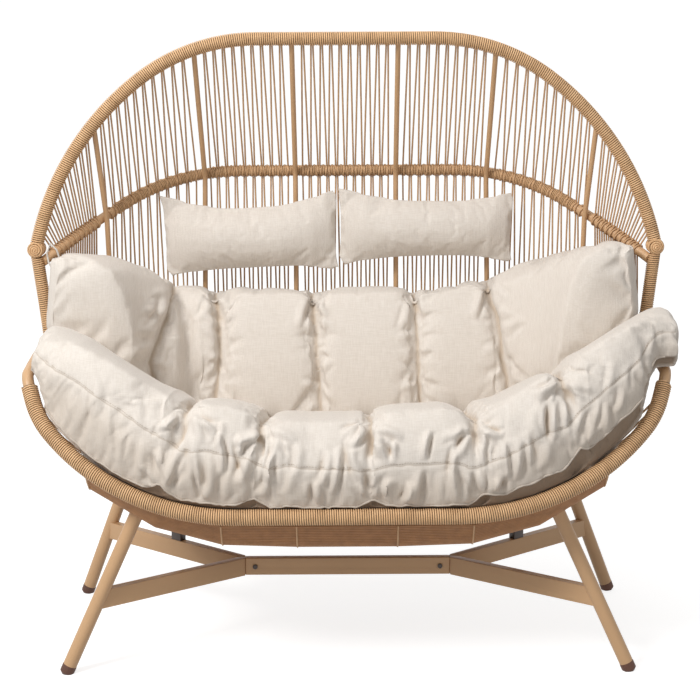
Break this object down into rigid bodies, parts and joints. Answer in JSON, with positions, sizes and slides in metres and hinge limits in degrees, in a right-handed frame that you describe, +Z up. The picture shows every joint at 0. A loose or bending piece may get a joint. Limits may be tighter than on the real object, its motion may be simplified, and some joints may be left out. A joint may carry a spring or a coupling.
{
  "type": "garden loveseat",
  "caption": "Egg-shaped garden loveseat: a rope-wound arched back hoop and laced bowl seat on splayed, braced legs, with a tufted seat cushion, a back cushion and head pillows.",
  "frame": {"origin": "on the floor under the middle of the loveseat's box", "axes": "+X along the width to the right as seen from the front, +Y towards the back, +Z up; the front faces -Y"},
  "size_m": [1.4426, 0.7788, 1.3509],
  "materials": {
    "wound_rope": "matte round synthetic cord, straw and tan",
    "laced_rope": "matte round synthetic cord, tan",
    "frame_paint": "satin sand-coloured powder coat",
    "cushion_linen": "off-white linen weave",
    "foot_rubber": "matte rust brown",
    "dark_hardware": "satin dark brown",
    "bright_hardware": "satin"
  },
  "bodies": {
    "root": {"arm_cord_left": "laced_rope", "arm_cord_right": "laced_rope", "arm_elbows": "frame_paint", "back_cord_left_1": "laced_rope", "back_cord_left_2": "laced_rope", "back_cord_left_3": "laced_rope", "back_cord_middle": "laced_rope", "back_cord_right_1": "laced_rope", "back_cord_right_2": "laced_rope", "back_cord_right_3": "laced_rope", "back_cushion": "cushion_linen", "back_hoop": "wound_rope", "basket_cord_left_1": "laced_rope", "basket_cord_left_2": "laced_rope", "basket_cord_left_3": "laced_rope", "basket_cord_middle": "laced_rope", "basket_cord_right_1": "laced_rope", "basket_cord_right_2": "laced_rope", "basket_cord_right_3": "laced_rope", "beam_screws": "dark_hardware", "centre_beam": "frame_paint", "foot_caps": "foot_rubber", "front_brace_left": "frame_paint", "front_brace_right": "frame_paint", "front_cradle_tube": "frame_paint", "front_leg_left": "frame_paint", "front_leg_right": "frame_paint", "front_rim": "wound_rope", "head_pillow_left": "cushion_linen", "head_pillow_right": "cushion_linen", "knuckle_left": "wound_rope", "knuckle_right": "wound_rope", "leg_plates": "frame_paint", "leg_studs": "bright_hardware", "mid_ring": "wound_rope", "rear_brace_left": "frame_paint", "rear_brace_right": "frame_paint", "rear_cradle_tube": "frame_paint", "rear_leg_left": "frame_paint", "rear_leg_right": "frame_paint", "rear_rail": "wound_rope", "rib_1_left": "frame_paint", "rib_1_right": "frame_paint", "rib_2_left": "frame_paint", "rib_2_right": "frame_paint", "rib_3_left": "frame_paint", "rib_3_right": "frame_paint", "seat_cushion": "cushion_linen", "seat_web": "laced_rope", "side_tube_left": "wound_rope", "side_tube_right": "wound_rope", "support_blocks": "dark_hardware"}
  },
  "joints": []
}
